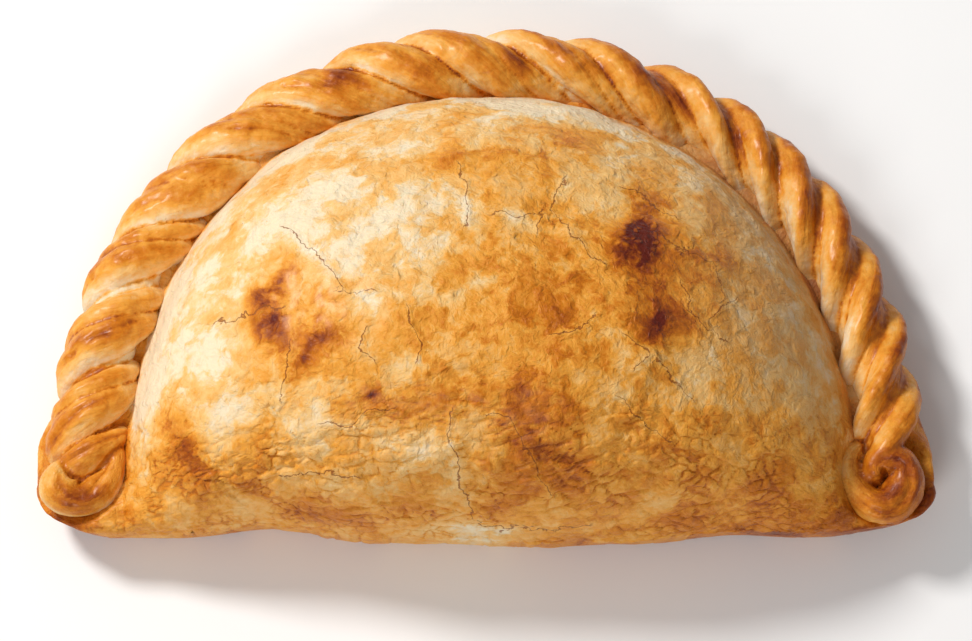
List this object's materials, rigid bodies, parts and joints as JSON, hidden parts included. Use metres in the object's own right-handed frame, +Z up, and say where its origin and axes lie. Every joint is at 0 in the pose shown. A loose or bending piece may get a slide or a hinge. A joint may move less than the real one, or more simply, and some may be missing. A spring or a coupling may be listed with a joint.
{
  "type": "empanada",
  "caption": "Baked half-moon pastry, plump over its filling, with a straight folded front edge and a rope-crimped curved rim.",
  "frame": {"origin": "centre of the bounding box on the plane it lies on", "axes": "+X along the straight folded edge to the right, +Y from the folded edge back towards the crimped rim, +Z up"},
  "size_m": [0.1304, 0.0782, 0.0382],
  "materials": {
    "crust": "egg-washed golden-brown pastry, satin"
  },
  "bodies": {
    "root": {"empanada": "crust"}
  },
  "joints": []
}
